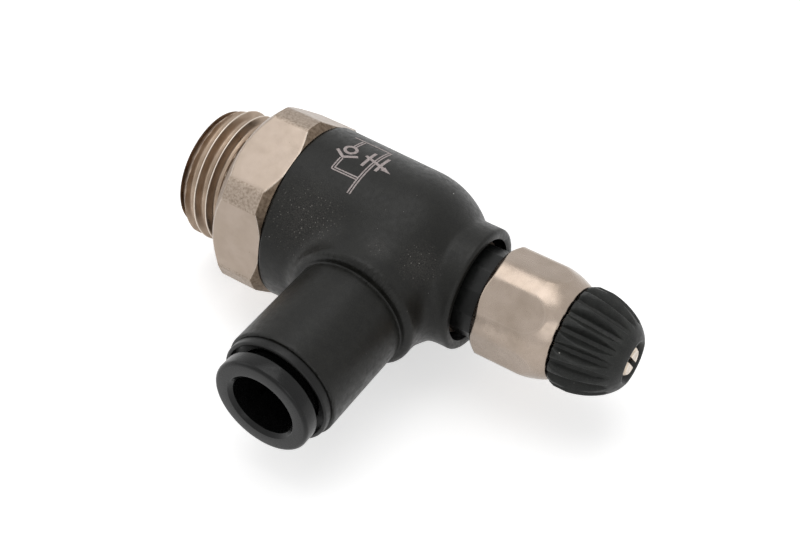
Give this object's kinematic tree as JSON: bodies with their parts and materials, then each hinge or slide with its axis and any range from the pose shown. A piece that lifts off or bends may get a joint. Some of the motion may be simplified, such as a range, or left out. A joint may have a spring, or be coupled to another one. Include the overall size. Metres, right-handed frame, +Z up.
{
  "type": "flow control valve",
  "caption": "Banjo flow control valve: threaded port, swivelling push-in tube branch, check seal, and a needle set by a ribbed knob with a lock nut.",
  "frame": {"origin": "on the stem axis, at the centre of the hexagon's seat face, the plane that meets the port", "axes": "+X along the stem from the port thread towards the knob; -Y along the push-in tube branch; +Z up with the valve lying on its side"},
  "size_m": [0.0455, 0.0311, 0.0184],
  "materials": {
    "stem_nickel": "nickel-plated brass, fine turned",
    "seal_rubber": "matt nitrile",
    "seat_brass": "turned brass",
    "spring_steel": "spring steel",
    "sleeve_black": "moulded black polymer",
    "spindle_nickel": "nickel-plated, turned",
    "nut_nickel": "nickel-plated, machined flats",
    "friction_nylon": "natural nylon",
    "knob_black": "moulded black polymer, satin",
    "body_black": "glass-filled black polymer, matt",
    "end_ring_black": "moulded black polymer",
    "backing_ring_black": "moulded black polymer",
    "claw_steel": "stainless strip",
    "collet_black": "moulded black polymer, satin"
  },
  "bodies": {
    "stem": {"threaded_stem": "stem_nickel", "port_face_seal": "seal_rubber", "lower_stem_oring": "seal_rubber", "upper_stem_oring": "seal_rubber", "check_lip_seal": "seal_rubber", "throttle_seat": "seat_brass", "stem_retaining_ring": "spring_steel", "bonnet_sleeve": "sleeve_black"},
    "banjo": {"swivel_body": "body_black", "branch_end_ring": "end_ring_black", "tube_oring": "seal_rubber", "tube_backing_ring": "backing_ring_black"},
    "collet_carriage": {"grip_ring": "claw_steel"},
    "release_collet": {"collet": "collet_black"},
    "needle_carriage": {"spindle_oring": "seal_rubber"},
    "needle": {"adjusting_spindle": "spindle_nickel", "spindle_stop_ring": "spring_steel", "knob": "knob_black"},
    "nut_carriage": {"lock_nut_friction_ring": "friction_nylon"},
    "nut": {"lock_nut": "nut_nickel"}
  },
  "joints": [
    {"name": "banjo_swivel", "type": "hinge", "parent": "stem", "child": "banjo", "pos_m": [0.0157, 0, 0], "axis": [1, 0, 0], "continuous": true},
    {"name": "collet_press", "type": "slide", "parent": "banjo", "child": "collet_carriage", "axis": [0, 1, 0], "range_m": [0, 0.0012]},
    {"name": "collet_turn", "type": "hinge", "parent": "collet_carriage", "child": "release_collet", "pos_m": [0.0157, -0.02, 0], "axis": [0, -1, 0], "continuous": true},
    {"name": "needle_travel", "type": "slide", "parent": "stem", "child": "needle_carriage", "axis": [1, 0, 0], "range_m": [0, 0.005]},
    {"name": "needle_turn", "type": "hinge", "parent": "needle_carriage", "child": "needle", "pos_m": [0.03, 0, 0], "axis": [1, 0, 0], "range_deg": [0, 3600]},
    {"name": "lock_nut_travel", "type": "slide", "parent": "needle", "child": "nut_carriage", "axis": [1, 0, 0], "range_m": [-0.0015, 0]},
    {"name": "lock_nut_turn", "type": "hinge", "parent": "nut_carriage", "child": "nut", "pos_m": [0.03, 0, 0], "axis": [1, 0, 0], "range_deg": [-1080, 0]}
  ],
  "couplings": [
    {"joint": "needle_turn", "follows": "needle_travel", "rad_per_m": 12566},
    {"joint": "lock_nut_turn", "follows": "lock_nut_travel", "rad_per_m": 12566}
  ]
}
